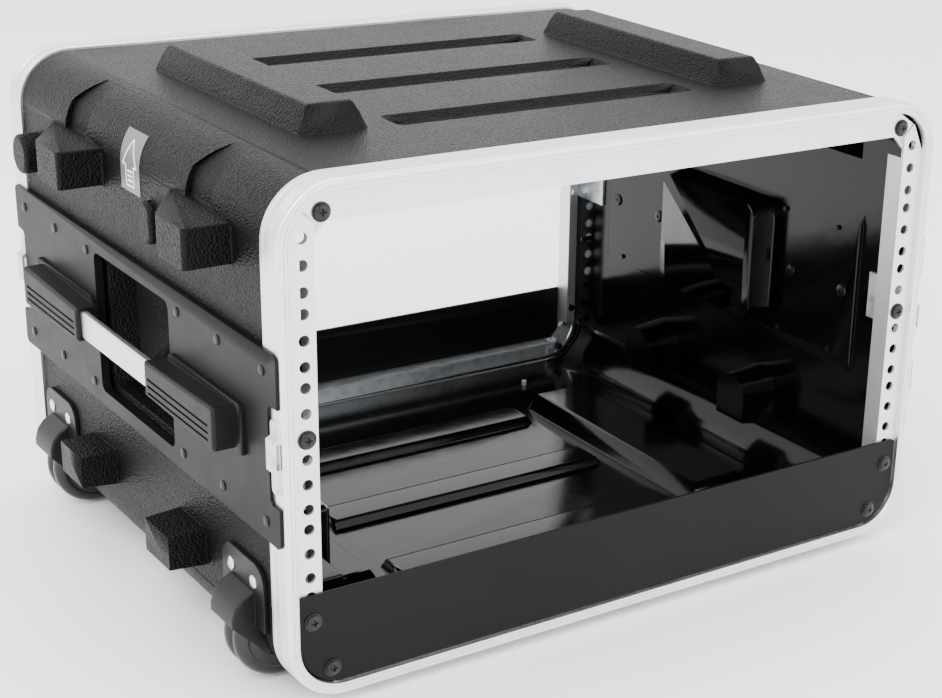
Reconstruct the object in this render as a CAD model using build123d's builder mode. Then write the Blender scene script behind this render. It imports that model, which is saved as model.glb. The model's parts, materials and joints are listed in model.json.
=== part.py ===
from build123d import *
import os

# Equipment rack case, 6 units: a moulded sleeve between two aluminium valances, with rack rails at both ends,
# a riveted handle plate on each side and two wheels along the lower left edge.
#
# Millimetres. The origin is on the floor, at the centre of the footprint. +X is the case's right as seen
# from the front, -Y is the front, +Z is up. Front pieces are made first and mirrored for the rear.

# ---------------------------------------------------------------- driving dimensions
RACK_UNIT = 44.45
RACK_UNITS = 6
RACK_BASE = 38.0                          # underside of the lowest unit above the floor
HOLES_IN_UNIT = (6.35, 22.225, 38.1)
HOLE_SPACING = 465.1
HOLE_RADIUS = 3.5
PANEL_WIDTH = 482.6

CASE_WIDTH = 500.0
CASE_DEPTH = 426.0
CASE_BOTTOM = 7.0
CASE_TOP = 331.0
CORNER_RADIUS = 38.0
VALANCE_DEPTH = 22.0
VALANCE_BAND = 7.5
WALL = 4.0
RAIL_SETBACK = 4.7
SHEET = 2.0

WHEEL_RADIUS = 30.0
WHEEL_WIDTH = 24.0
WHEEL_X = -231.5
WHEEL_Z = 32.0
WHEEL_Y = 153.0

# ---------------------------------------------------------------- derived dimensions
HALF_WIDTH = CASE_WIDTH / 2
HALF_DEPTH = CASE_DEPTH / 2
CASE_HEIGHT = CASE_TOP - CASE_BOTTOM
MID_Z = (CASE_TOP + CASE_BOTTOM) / 2
HOLE_X = HOLE_SPACING / 2
RACK_TOP = RACK_BASE + RACK_UNITS * RACK_UNIT
RAIL_Y = -(HALF_DEPTH - RAIL_SETBACK)     # front face of the front rails

SHELL_HALF_WIDTH = HALF_WIDTH - 2.0
SHELL_BOTTOM = CASE_BOTTOM + 2.0
SHELL_TOP = CASE_TOP - 2.0
SHELL_RADIUS = CORNER_RADIUS - 2.0
SHELL_HALF_DEPTH = HALF_DEPTH - 2.5
SHELL_CORNER_X = SHELL_HALF_WIDTH - SHELL_RADIUS
SHELL_CORNER_Z = SHELL_TOP - SHELL_RADIUS

# Stacking ridges on the roof, and the matching pits under the floor
RIDGE_X = 159.0
RIDGE_BASE = (48.0, 220.0)
RIDGE_HEIGHT = 17.0
RIDGE_DRAFT = 27.0
PIT_GROWTH = 4.0
PIT_DEPTH = 14.0

# Drafted slots in the roof and the floor
SLOT_SIZE = (232.0, 29.0)
SLOT_DEPTH = 6.0
SLOT_DRAFT = 35.0
SLOT_PITCH = 98.0

# Blocks, lugs and edge scallops moulded on both sides
UPPER_BLOCK_FRONTS = (-151.3, 43.7)
UPPER_BLOCK_Z = (270.0, 295.0)
UPPER_BLOCK_REACH = 278.0
UPPER_BLOCK_FLAT = 38.0
UPPER_BLOCK_LENGTH = 88.0
LOWER_BLOCK_Y = 74.0
LOWER_BLOCK_LENGTH = 41.0
LOWER_BLOCK_Z = (53.0, 79.0)
LOWER_BLOCK_REACH = 273.0
SCALLOP_BACKS = (-87.0, 108.0)
SCALLOP_LENGTH = 36.0
SCALLOP_RADIUS = 37.5
SCALLOP_ROUNDING = 16.0
LUGS = ((-33.0, 17.0, 5.0), (166.0, 27.0, 14.0))    # middle, width and reach of each lug
LUG_Z = (251.0, 279.0)

# Recesses low in the right wall, and stiffening bosses inside the lower left edge
TOE_MIDDLES = (-52.0, 74.0)
TOE_WIDTH = 26.0                          # at the recess's floor
TOE_Z = (49.0, 78.0)
TOE_INNER_X = 218.0
TOE_DRAFT = 6.0
BOSS_Y = (-108.0, -92.0)
BOSS_REACH = 167.0
BOSS_TOP = 79.0

# Handles
PLATE_Z = (111.7, 232.7)
PLATE_HALF_LENGTH = 210.5
PLATE_OUTER_X = 252.0
PLATE_OPENING = (61.0, (122.5, 221.5))    # half length and height span
PLATE_RECESS = (152.0, (113.0, 231.0))    # half length and height span of the sunk wall behind the plate
PLATE_RIM_DEPTH = 4.0
RECESS_DEPTH = 4.0
PLATE_NOTCH_Z = (138.0, 200.0)
PLATE_NOTCH_DEPTH = 12.0
POCKET_HALF_LENGTH = 53.0                 # at the pocket's floor
POCKET_Z = (131.0, 215.0)
POCKET_FLOOR_X = 226.0
POCKET_DRAFT = 15.0
RIVET_SPREADS = (74.3, 133.0, 192.5)
RIVET_ROWS = (124.6, 219.0)
RIVET_PLACES = [(end * y, z) for end in (-1, 1) for y in RIVET_SPREADS for z in RIVET_ROWS]
RIVET_RADIUS = 1.9
RIVET_HEAD_RADIUS = 3.3
RIVET_HEAD_HEIGHT = 1.5
HANDLE_Z = 172.8
GRIP_Y = (57.0, 158.5)
GRIP_HEIGHTS = (23.0, 28.5)               # at the bar's end and at the outer end
GRIP_OUTER_X = 268.5
BAR_HEIGHT = 19.0
BAR_THICKNESS = 5.0
BAR_OUTER_X = 265.0
HANDLE_BOLT_RADIUS = 2.5
HANDLE_BOLTS = [(end * y, HANDLE_Z) for end in (-1, 1) for y in (84.0, 142.0)]

# Latch keepers riveted to the sides of the valances
KEEPER_Y = HALF_DEPTH - 8.0
KEEPER_Z = (146.0, 192.0)
KEEPER_RIVET_Z = (150.5, 187.8)
KEEPER_RIVET_RADIUS = 1.65

# Wheel housings
WELL_HALF_WIDTH = 24.0
WELL_TOP = 66.0
WELL_INNER_X = 200.0
AXLE_RADIUS = 4.0
RUNNING_GAP = 0.05
CHEEK_GAP = 2.0
CHEEK = 2.5
CHEEK_INNER = WHEEL_WIDTH / 2 + CHEEK_GAP
CHEEK_OUTER = CHEEK_INNER + CHEEK
BRACKET_RIVET_Z = 74.0
BRACKET_RIVET_SPREAD = 15.5
BRACKET_RIVET_RADIUS = 2.5
BRACKET_RIVETS = [
    (end * WHEEL_Y + step * BRACKET_RIVET_SPREAD, BRACKET_RIVET_Z) for end in (-1, 1) for step in (-1, 1)
]

PANEL_Z = (15.5, 77.8)
PANEL_SCREW_Z = RACK_BASE + HOLES_IN_UNIT[1]
RAIL_SCREW_Z = RACK_BASE + 3 * RACK_UNIT + HOLES_IN_UNIT[0]
CORNER_SCREW_X = 220.3
CORNER_SCREW_Z = 312.0
SCREW_RADIUS = 2.9
SCREW_HEAD_RADIUS = 4.7
SCREW_HEAD_HEIGHT = 2.0
SCREW_CROSS = 4.4
WASHER_RADIUS = 5.9
WASHER_THICKNESS = 0.7

FOOT_RADIUS = 18.0
FOOT_PLACES = [(x, y) for x in (-RIDGE_X, RIDGE_X) for y in (-160.0, 160.0)]

os.makedirs("parts", exist_ok=True)


def save(piece, label):
    """Name a finished piece and write it as one STEP file."""
    piece.part.label = label
    export_step(piece.part, f"parts/{label}.step")


def front_plane(y):
    """Drawing plane at depth y: X across, Z up, its normal towards the front."""
    return Plane.XZ.offset(-y)


def side_plane(x):
    """Drawing plane at width x: Y across, Z up, its normal towards +X."""
    return Plane.YZ.offset(x)


def plane_facing(origin, normal):
    """Drawing plane through a point, with its normal along one axis."""
    return Plane(origin=origin, z_dir=normal)


def middle(span):
    return (span[0] + span[1]) / 2


def length(span):
    return span[1] - span[0]


# ---------------------------------------------------------------- moulded sleeve
def ridges(inset):
    """Two drafted ridges along the roof, near its sides."""
    with BuildPart() as solids:
        with BuildSketch(Plane.XY.offset(SHELL_TOP - inset)):
            with Locations((-RIDGE_X, 0), (RIDGE_X, 0)):
                RectangleRounded(RIDGE_BASE[0] - inset, RIDGE_BASE[1] - inset, 5)
        extrude(amount=RIDGE_HEIGHT, taper=RIDGE_DRAFT)
    return solids.part


def pits(inset):
    """Two pits under the floor that take the ridges of a case below."""
    growth = PIT_GROWTH + inset
    with BuildPart() as solids:
        with BuildSketch(Plane.XY.offset(SHELL_BOTTOM + inset)):
            with Locations((-RIDGE_X, 0), (RIDGE_X, 0)):
                RectangleRounded(RIDGE_BASE[0] + growth, RIDGE_BASE[1] + growth, 5)
        extrude(amount=PIT_DEPTH, taper=RIDGE_DRAFT)
    return solids.part


def slots(z, direction, inset):
    """Three drafted slots across the roof or the floor, sunk along direction."""
    with BuildPart() as solids:
        with BuildSketch(plane_facing((0, 0, z), (0, 0, direction))):
            with GridLocations(0, SLOT_PITCH, 1, 3):
                RectangleRounded(SLOT_SIZE[0] + inset, SLOT_SIZE[1] + inset, 4)
        extrude(amount=SLOT_DEPTH, taper=SLOT_DRAFT)
    return solids.part


def upper_block(side, front, inset):
    """A block whose outer face is flat at the front and runs back into the wall."""
    reach = side * (UPPER_BLOCK_REACH - inset)
    root = side * (SHELL_HALF_WIDTH - inset - 1)
    face = front + inset
    with BuildPart() as solids:
        with BuildSketch(Plane.XY.offset(UPPER_BLOCK_Z[0] + inset)):
            with BuildLine():
                Polyline(
                    (root, face),
                    (reach, face + 1),
                    (reach, face + UPPER_BLOCK_FLAT - inset),
                    (root, face + UPPER_BLOCK_LENGTH - 2 * inset),
                    close=True,
                )
            make_face()
            fillet(vertices().sort_by(Axis.X, reverse=side > 0)[0:2], 3)
        extrude(amount=length(UPPER_BLOCK_Z) - 2 * inset)
    return solids.part


def lower_block(side, y, inset):
    """A plain drafted block low on the wall."""
    with BuildPart() as solids:
        root = (side * (SHELL_HALF_WIDTH - inset - 1), y, middle(LOWER_BLOCK_Z))
        with BuildSketch(plane_facing(root, (side, 0, 0))):
            RectangleRounded(length(LOWER_BLOCK_Z) - 2 * inset, LOWER_BLOCK_LENGTH - 2 * inset, 2)
        extrude(amount=LOWER_BLOCK_REACH - SHELL_HALF_WIDTH + 1, taper=4)
    return solids.part


def lug(side, y, width, reach):
    """An upright pill-shaped lug beside an upper block."""
    with BuildPart() as solids:
        with BuildSketch(side_plane(side * (SHELL_HALF_WIDTH - 1))):
            with Locations(Location((y, middle(LUG_Z)), 90)):
                SlotOverall(length(LUG_Z), width)
        extrude(amount=side * (reach + 1))
        fillet(faces().sort_by(Axis.X, reverse=side > 0)[0].outer_wire().edges(), 3)
    return solids.part


def scallop(back, inset):
    """A shallow recess in both upper edges, open to the wall above an upper block."""
    half = SHELL_HALF_WIDTH + 60
    bottom = UPPER_BLOCK_Z[1] - inset
    top = SHELL_TOP + 20
    rear = back + inset
    front = back - SCALLOP_LENGTH - inset
    floor_x = SHELL_CORNER_X - 5
    floor_radius = SCALLOP_RADIUS - inset
    with BuildPart() as solids:
        with BuildSketch(side_plane(-half)):
            with BuildLine():
                Polyline(
                    (rear, bottom),
                    (rear, SHELL_TOP - SCALLOP_ROUNDING),
                    (rear - SCALLOP_ROUNDING, SHELL_TOP),
                    (rear - SCALLOP_ROUNDING, top),
                    (front, top),
                    (front, bottom),
                    close=True,
                )
            make_face()
        extrude(amount=2 * half)
        with BuildSketch(front_plane(rear + 1)):
            with Locations((-floor_x, SHELL_CORNER_Z), (floor_x, SHELL_CORNER_Z)):
                Circle(floor_radius)
            with Locations((0, SHELL_CORNER_Z)):
                Rectangle(2 * floor_x, 2 * floor_radius)
            with Locations((0, SHELL_CORNER_Z - 50)):
                Rectangle(2 * (floor_x + floor_radius), 100)
            with Locations((0, top)):
                Rectangle(2 * floor_x, 2 * (top - SHELL_CORNER_Z))
        extrude(amount=rear - front + 2, mode=Mode.SUBTRACT)
    return solids.part


def pockets(inset):
    """Finger pockets behind both handles, a little narrower at their floors."""
    with BuildPart() as solids:
        with BuildSketch(side_plane(POCKET_FLOOR_X - inset)):
            with Locations((0, middle(POCKET_Z))):
                RectangleRounded(2 * (POCKET_HALF_LENGTH + inset), length(POCKET_Z) + 2 * inset, 6 + inset)
        extrude(amount=40, taper=-POCKET_DRAFT)
        mirror(about=Plane.YZ)
    return solids.part


def plate_recesses(inset):
    """Sunk panels in both side walls behind the handle plates, with sloped upper and lower edges."""
    half_length = PLATE_RECESS[0] + inset
    low = PLATE_RECESS[1][0] - 0.8 * inset
    high = PLATE_RECESS[1][1] + 0.8 * inset
    wall = SHELL_HALF_WIDTH - inset
    with BuildPart() as solids:
        with BuildSketch(front_plane(half_length)):
            with BuildLine():
                Polyline(
                    (wall + 1, low - 2.5),
                    (wall - RECESS_DEPTH, low + 10),
                    (wall - RECESS_DEPTH, high - 10),
                    (wall + 1, high + 2.5),
                    close=True,
                )
            make_face()
        extrude(amount=2 * half_length)
        mirror(about=Plane.YZ)
    return solids.part


def toe_recess(y, inset):
    """Round-topped recess low in the right wall."""
    radius = TOE_WIDTH / 2 + inset
    bottom = TOE_Z[0] - inset
    shoulder = TOE_Z[1] - TOE_WIDTH / 2
    with BuildPart() as solids:
        with BuildSketch(side_plane(TOE_INNER_X - inset)):
            with Locations((y, shoulder)):
                Circle(radius)
            with Locations((y, (bottom + shoulder) / 2)):
                Rectangle(2 * radius, shoulder - bottom)
        extrude(amount=40, taper=-TOE_DRAFT)
    return solids.part


def wheel_well(y, inset):
    """Well for one wheel, open to the left and below."""
    low = SHELL_BOTTOM - 30
    high = WELL_TOP + inset
    with BuildPart() as solids:
        with BuildSketch(side_plane(-WELL_INNER_X + inset)):
            with Locations((y, (low + high) / 2)):
                Rectangle(2 * (WELL_HALF_WIDTH + inset), high - low)
        extrude(amount=-70)
    return solids.part


def bosses():
    """Stiffening bosses that stand on the floor inside the left wall."""
    with BuildPart() as solids:
        with BuildSketch(Plane.XY):
            for end in (-1, 1):
                with Locations((-(BOSS_REACH + 50), end * middle(BOSS_Y))):
                    RectangleRounded(100, length(BOSS_Y), 3)
        extrude(amount=BOSS_TOP)
    return solids.part


def skin(inset, overrun):
    """The moulding's outside, or its inside when inset by the wall; overrun runs past both open ends."""
    with BuildPart() as body:
        with BuildSketch(front_plane(SHELL_HALF_DEPTH + overrun)):
            with Locations((0, MID_Z)):
                RectangleRounded(
                    2 * (SHELL_HALF_WIDTH - inset),
                    SHELL_TOP - SHELL_BOTTOM - 2 * inset,
                    SHELL_RADIUS - inset,
                )
        extrude(amount=2 * (SHELL_HALF_DEPTH + overrun))
        for back in SCALLOP_BACKS:
            add(scallop(back, inset), mode=Mode.SUBTRACT)
        add(ridges(inset))
        add(slots(SHELL_TOP - inset, -1, inset), mode=Mode.SUBTRACT)
        add(slots(SHELL_BOTTOM + inset, 1, inset), mode=Mode.SUBTRACT)
        add(pits(inset), mode=Mode.SUBTRACT)
        for side in (-1, 1):
            for front in UPPER_BLOCK_FRONTS:
                add(upper_block(side, front, inset))
        add(plate_recesses(inset), mode=Mode.SUBTRACT)
        add(pockets(inset), mode=Mode.SUBTRACT)
        for y in TOE_MIDDLES:
            add(toe_recess(y, inset), mode=Mode.SUBTRACT)
        for end in (-1, 1):
            add(lower_block(-1, end * LOWER_BLOCK_Y, inset))
            add(wheel_well(end * WHEEL_Y, inset), mode=Mode.SUBTRACT)
    return body.part


with BuildPart() as hollow:
    add(skin(WALL, 5))
    add(bosses(), mode=Mode.SUBTRACT)

with BuildPart() as shell:
    add(skin(0, 0))
    for lug_side in (-1, 1):
        for lug_y, lug_width, lug_reach in LUGS:
            add(lug(lug_side, lug_y, lug_width, lug_reach))
    add(hollow.part, mode=Mode.SUBTRACT)
    with BuildSketch(Plane.XY):
        with Locations(*FOOT_PLACES):
            Circle(2.2)
    extrude(amount=SHELL_BOTTOM + WALL + 1, mode=Mode.SUBTRACT)
    with BuildSketch(side_plane(-SHELL_HALF_WIDTH - 1)):
        with Locations(*RIVET_PLACES):
            Circle(RIVET_RADIUS + 0.1)
        with Locations(*HANDLE_BOLTS):
            Circle(HANDLE_BOLT_RADIUS + 0.1)
    extrude(amount=2 * SHELL_HALF_WIDTH + 2, mode=Mode.SUBTRACT)
    with BuildSketch(side_plane(-SHELL_HALF_WIDTH - 1)):
        with Locations(*BRACKET_RIVETS):
            Circle(BRACKET_RIVET_RADIUS + 0.1)
    extrude(amount=WALL + 2, mode=Mode.SUBTRACT)
save(shell, "shell")

# ---------------------------------------------------------------- valances
with BuildPart() as front_valance:
    with BuildSketch(front_plane(-HALF_DEPTH + VALANCE_DEPTH)):
        with Locations((0, MID_Z)):
            RectangleRounded(CASE_WIDTH, CASE_HEIGHT, CORNER_RADIUS)
            RectangleRounded(
                2 * SHELL_HALF_WIDTH,
                SHELL_TOP - SHELL_BOTTOM,
                SHELL_RADIUS,
                mode=Mode.SUBTRACT,
            )
    extrude(amount=VALANCE_DEPTH)
    with BuildSketch(front_plane(-HALF_DEPTH + 2)):
        with Locations((0, MID_Z)):
            RectangleRounded(CASE_WIDTH - 1, CASE_HEIGHT - 1, CORNER_RADIUS - 0.5)
            RectangleRounded(
                CASE_WIDTH - 2 * VALANCE_BAND,
                CASE_HEIGHT - 2 * VALANCE_BAND,
                CORNER_RADIUS - VALANCE_BAND,
                mode=Mode.SUBTRACT,
            )
    extrude(amount=2)
    with BuildSketch(front_plane(RAIL_Y)):
        with Locations((0, MID_Z)):
            RectangleRounded(
                CASE_WIDTH - 2 * VALANCE_BAND + 2.2,
                CASE_HEIGHT - 2 * VALANCE_BAND + 2.2,
                CORNER_RADIUS - VALANCE_BAND + 1.1,
            )
            RectangleRounded(
                CASE_WIDTH - 2 * VALANCE_BAND,
                CASE_HEIGHT - 2 * VALANCE_BAND,
                CORNER_RADIUS - VALANCE_BAND,
                mode=Mode.SUBTRACT,
            )
    extrude(amount=RAIL_SETBACK)
    with BuildSketch(side_plane(-HALF_WIDTH - 1)):
        with Locations(*[(-KEEPER_Y, z) for z in KEEPER_RIVET_Z]):
            Circle(KEEPER_RIVET_RADIUS + 0.05)
        with Locations(*RIVET_PLACES):
            Circle(RIVET_RADIUS + 0.1)
    extrude(amount=CASE_WIDTH + 2, mode=Mode.SUBTRACT)
    front_edges = front_valance.edges().group_by(Axis.Y)[0]
    fillet(front_edges.filter_by(lambda edge: edge.bounding_box().size.X > 400), 1.2)
save(front_valance, "front_valance")

with BuildPart() as rear_valance:
    mirror(front_valance.part, about=Plane.XZ)
save(rear_valance, "rear_valance")

# ---------------------------------------------------------------- rack rails
RAIL_INNER_X = 225.0
RAIL_OUTER_X = 242.4
RAIL_RETURN = 15.0
RAIL_RETURN_REACH = 121.0                 # half length of the return, clear of the corner gussets
RAIL_TIP = (233.0, 313.4)
RAIL_SHOULDER_Z = 294.0
SEAM_Z = 305.4


def rail_outline(side):
    """Face of one rail, pointed at both ends where it meets the cross strips."""
    upper = [
        (RAIL_INNER_X, SEAM_Z),
        RAIL_TIP,
        (RAIL_OUTER_X, RAIL_SHOULDER_Z),
    ]
    lower = [(x, 2 * MID_Z - z) for x, z in reversed(upper)]
    return [(side * x, z) for x, z in upper + lower]


def build_rail(side):
    """Front rail on one side: a holed face with a return along its inner edge."""
    with BuildPart() as rail:
        with BuildSketch(front_plane(RAIL_Y + SHEET)):
            with BuildLine():
                Polyline(*rail_outline(side), close=True)
            make_face()
            for unit in range(RACK_UNITS):
                for height in HOLES_IN_UNIT:
                    with Locations((side * HOLE_X, RACK_BASE + unit * RACK_UNIT + height)):
                        Circle(HOLE_RADIUS, mode=Mode.SUBTRACT)
        extrude(amount=SHEET)
        with BuildSketch(Plane.XY.offset(MID_Z - RAIL_RETURN_REACH)):
            with Locations((side * (RAIL_INNER_X + SHEET / 2), RAIL_Y + RAIL_RETURN / 2)):
                Rectangle(SHEET, RAIL_RETURN)
        extrude(amount=2 * RAIL_RETURN_REACH)
    return rail


for side, name in ((-1, "left"), (1, "right")):
    front_rail = build_rail(side)
    save(front_rail, f"front_{name}_rail")
    with BuildPart() as rear_rail:
        mirror(front_rail.part, about=Plane.XZ)
    save(rear_rail, f"rear_{name}_rail")

# ---------------------------------------------------------------- cross strips
STRIP_Z = (306.2, 322.8)
STRIP_TIP = (231.6, 313.8)
STRIP_SHOULDER_X = 218.0
STRIP_RETURN = 14.0

with BuildPart() as front_top_strip:
    with BuildSketch(front_plane(RAIL_Y + SHEET)):
        with BuildLine():
            Polyline(
                (-(RAIL_INNER_X - 1), STRIP_Z[0]),
                (-STRIP_TIP[0], STRIP_TIP[1]),
                (-STRIP_SHOULDER_X, STRIP_Z[1]),
                (STRIP_SHOULDER_X, STRIP_Z[1]),
                STRIP_TIP,
                (RAIL_INNER_X - 1, STRIP_Z[0]),
                close=True,
            )
        make_face()
        with Locations((-CORNER_SCREW_X, CORNER_SCREW_Z), (CORNER_SCREW_X, CORNER_SCREW_Z)):
            Circle(HOLE_RADIUS, mode=Mode.SUBTRACT)
    extrude(amount=SHEET)
    with BuildSketch(side_plane(-(STRIP_SHOULDER_X - 8))):
        with Locations((RAIL_Y + STRIP_RETURN / 2, STRIP_Z[0] + SHEET / 2)):
            Rectangle(STRIP_RETURN, SHEET)
    extrude(amount=2 * (STRIP_SHOULDER_X - 8))
save(front_top_strip, "front_top_strip")

with BuildPart() as front_bottom_strip:
    mirror(front_top_strip.part, about=Plane.XY.offset(MID_Z))
save(front_bottom_strip, "front_bottom_strip")

with BuildPart() as rear_top_strip:
    mirror(front_top_strip.part, about=Plane.XZ)
save(rear_top_strip, "rear_top_strip")

with BuildPart() as rear_bottom_strip:
    mirror(front_bottom_strip.part, about=Plane.XZ)
save(rear_bottom_strip, "rear_bottom_strip")

# ---------------------------------------------------------------- blank panels over the lowest unit
LOWER_SCREW_Z = 2 * MID_Z - CORNER_SCREW_Z
PANEL_SCREWS = [(side * HOLE_X, PANEL_SCREW_Z) for side in (-1, 1)]
PANEL_SCREWS += [(side * CORNER_SCREW_X, LOWER_SCREW_Z) for side in (-1, 1)]
BARE_SCREWS = [(side * HOLE_X, RAIL_SCREW_Z) for side in (-1, 1)]
BARE_SCREWS += [(side * CORNER_SCREW_X, CORNER_SCREW_Z) for side in (-1, 1)]

with BuildPart() as front_blank_panel:
    with BuildSketch(front_plane(RAIL_Y)):
        with Locations((0, middle(PANEL_Z))):
            Rectangle(PANEL_WIDTH, length(PANEL_Z))
        fillet(vertices().group_by(Axis.Y)[0], CORNER_RADIUS - VALANCE_BAND - 1)
        fillet(vertices().group_by(Axis.Y)[-1], 3)
        with Locations(*PANEL_SCREWS):
            Circle(HOLE_RADIUS, mode=Mode.SUBTRACT)
    extrude(amount=SHEET)
save(front_blank_panel, "front_blank_panel")

with BuildPart() as rear_blank_panel:
    mirror(front_blank_panel.part, about=Plane.XZ)
save(rear_blank_panel, "rear_blank_panel")

# ---------------------------------------------------------------- gussets and brackets behind the rails
GUSSET_THICKNESS = 2.0
BRACKET_HEIGHT = 34.0

with BuildPart() as front_corner_gussets:
    with BuildSketch(front_plane(RAIL_Y + SHEET + GUSSET_THICKNESS)):
        for side in (-1, 1):
            for flip in (-1, 1):
                with BuildLine():
                    Polyline(
                        (side * 213, MID_Z + flip * 140.5),
                        (side * 229.5, MID_Z + flip * 123),
                        (side * 240.5, MID_Z + flip * 123),
                        (side * 232, MID_Z + flip * 143),
                        (side * 217, MID_Z + flip * 152.5),
                        (side * 213, MID_Z + flip * 152.5),
                        close=True,
                    )
                make_face()
        screw_heights = (CORNER_SCREW_Z, LOWER_SCREW_Z)
        with Locations(*[(side * CORNER_SCREW_X, z) for side in (-1, 1) for z in screw_heights]):
            Circle(SCREW_RADIUS + 0.2, mode=Mode.SUBTRACT)
        end_holes = (RACK_BASE + HOLES_IN_UNIT[0], RACK_TOP - HOLES_IN_UNIT[0])
        with Locations(*[(side * HOLE_X, z) for side in (-1, 1) for z in end_holes]):
            Circle(HOLE_RADIUS, mode=Mode.SUBTRACT)
    extrude(amount=GUSSET_THICKNESS)
save(front_corner_gussets, "front_corner_gussets")

with BuildPart() as rear_corner_gussets:
    mirror(front_corner_gussets.part, about=Plane.XZ)
save(rear_corner_gussets, "rear_corner_gussets")

with BuildPart() as rail_brackets:
    for side in (-1, 1):
        with BuildSketch(Plane.XY.offset(RAIL_SCREW_Z - BRACKET_HEIGHT / 2)):
            with BuildLine():
                Polyline(
                    (side * 228, RAIL_Y + SHEET),
                    (side * 243.9, RAIL_Y + SHEET),
                    (side * 243.9, RAIL_Y + 40),
                    (side * 241.9, RAIL_Y + 40),
                    (side * 241.9, RAIL_Y + 2 * SHEET),
                    (side * 228, RAIL_Y + 2 * SHEET),
                    close=True,
                )
            make_face()
        extrude(amount=BRACKET_HEIGHT)
    with BuildSketch(front_plane(RAIL_Y + 3 * SHEET)):
        with Locations((-HOLE_X, RAIL_SCREW_Z), (HOLE_X, RAIL_SCREW_Z)):
            Circle(SCREW_RADIUS + 0.2)
        with Locations(*[(side * HOLE_X, RAIL_SCREW_Z + z) for side in (-1, 1) for z in (-12.7, 15.875)]):
            Circle(HOLE_RADIUS)
    extrude(amount=3 * SHEET, mode=Mode.SUBTRACT)
    mirror(about=Plane.XZ)
save(rail_brackets, "rail_brackets")


# ---------------------------------------------------------------- fasteners
def fastener(head_radius, head_height, shank_radius, shank_length, cross=0.0):
    """Domed head standing on Z = 0 over a plain shank; cross is the width across a cross recess."""
    rim = 0.35 * head_height
    with BuildPart() as solid:
        with BuildSketch(Plane.XZ):
            with BuildLine():
                Polyline((0, head_height), (0, -shank_length), (shank_radius, -shank_length))
                Polyline((shank_radius, -shank_length), (shank_radius, 0))
                Polyline((shank_radius, 0), (head_radius, 0), (head_radius, rim))
                Bezier((head_radius, rim), (0.8 * head_radius, head_height), (0, head_height))
            make_face()
        revolve(axis=Axis.Z)
        if cross > 0:
            with BuildSketch(Plane.XY.offset(head_height)):
                Rectangle(cross, 0.2 * cross)
                Rectangle(0.2 * cross, cross)
            extrude(amount=-0.65 * head_height, mode=Mode.SUBTRACT)
    return solid.part


def facing(places, normal):
    """Locations at the given points, each turned so that its Z looks along normal."""
    return [Location(Plane(origin=place, z_dir=normal)) for place in places]


FRONT = (0, -1, 0)
SCREW_TIP_Y = RAIL_Y + 12
NUT_RADIUS = 5.0
NUT_THICKNESS = 4.0
SCREW_GROUPS = ((PANEL_SCREWS, RAIL_Y - SHEET), (BARE_SCREWS, RAIL_Y))


def nut_face(place):
    """Depth of the surface that a nut tightens against: a gusset or bracket adds to the rail."""
    plain_hole = place[1] == PANEL_SCREW_Z
    return RAIL_Y + SHEET + (0 if plain_hole else SHEET)


with BuildPart() as front_screws:
    for places, seat_y in SCREW_GROUPS:
        head_y = seat_y - WASHER_THICKNESS
        reach = SCREW_TIP_Y - head_y
        screw = fastener(SCREW_HEAD_RADIUS, SCREW_HEAD_HEIGHT, SCREW_RADIUS, reach, SCREW_CROSS)
        with Locations(*facing([(x, head_y, z) for x, z in places], FRONT)):
            add(screw)
save(front_screws, "front_screws")

with BuildPart() as front_washers:
    for places, seat_y in SCREW_GROUPS:
        with BuildSketch(front_plane(seat_y)):
            with Locations(*places):
                Circle(WASHER_RADIUS)
            with Locations(*places):
                Circle(SCREW_RADIUS + 0.2, mode=Mode.SUBTRACT)
        extrude(amount=WASHER_THICKNESS)
save(front_washers, "front_washers")

with BuildPart() as front_nuts:
    for place in PANEL_SCREWS + BARE_SCREWS:
        with BuildSketch(front_plane(nut_face(place) + NUT_THICKNESS)):
            with Locations(place):
                RegularPolygon(NUT_RADIUS, 6, major_radius=False, rotation=30)
                Circle(SCREW_RADIUS + 0.05, mode=Mode.SUBTRACT)
        extrude(amount=NUT_THICKNESS)
save(front_nuts, "front_nuts")

for kind, piece in (("screws", front_screws), ("washers", front_washers), ("nuts", front_nuts)):
    with BuildPart() as twin:
        mirror(piece.part, about=Plane.XZ)
    save(twin, f"rear_{kind}")

# ---------------------------------------------------------------- side plates with their rivets
LEFT = (-1, 0, 0)
RIGHT = (1, 0, 0)

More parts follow.
